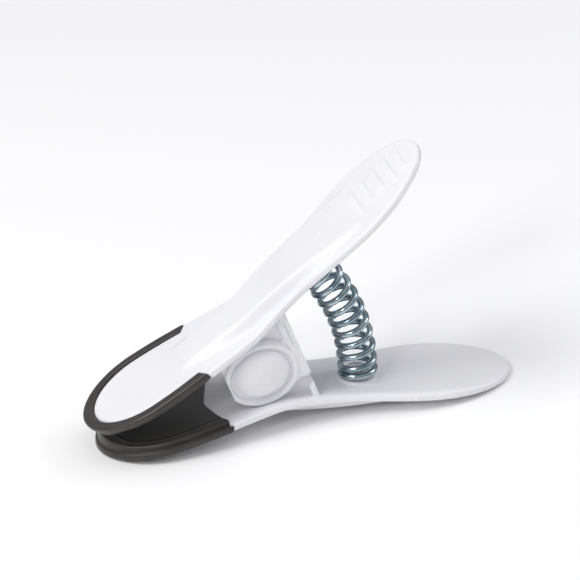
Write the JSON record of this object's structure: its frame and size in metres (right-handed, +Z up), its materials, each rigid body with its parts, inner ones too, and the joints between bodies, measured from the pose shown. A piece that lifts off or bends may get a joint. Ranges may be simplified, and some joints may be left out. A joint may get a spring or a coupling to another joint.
{
  "type": "bag clip",
  "caption": "Spring bag clip: paddle-shaped white plastic arms, soft dark grips on the jaws and an arched coil spring between the handles.",
  "frame": {"origin": "middle of the bounding box's bottom: the point on the table under the middle of the clip's length", "axes": "+X from the jaw tips towards the handle tips, +Y across the clip along the pivot axis, +Z up, with the lower arm on the table"},
  "size_m": [0.0926, 0.0254, 0.0566],
  "materials": {
    "white_plastic": "moulded polypropylene, semi-gloss white",
    "soft_grip": "moulded thermoplastic rubber, satin warm dark grey",
    "zinc_plated_steel": "bright zinc-plated spring wire, blue-grey"
  },
  "bodies": {
    "lower": {"lower_arm": "white_plastic", "lower_jaw_grip": "soft_grip", "spring": "zinc_plated_steel"},
    "upper": {"upper_arm": "white_plastic", "upper_jaw_grip": "soft_grip"}
  },
  "joints": [
    {"name": "squeeze", "type": "hinge", "parent": "lower", "child": "upper", "pos_m": [-0.00925, 0, 0.01432], "axis": [0, 1, 0], "range_deg": [0, 20], "stiffness_Nm_per_rad": 0.3, "springref_deg": -28.65, "deforming": ["spring"]}
  ]
}
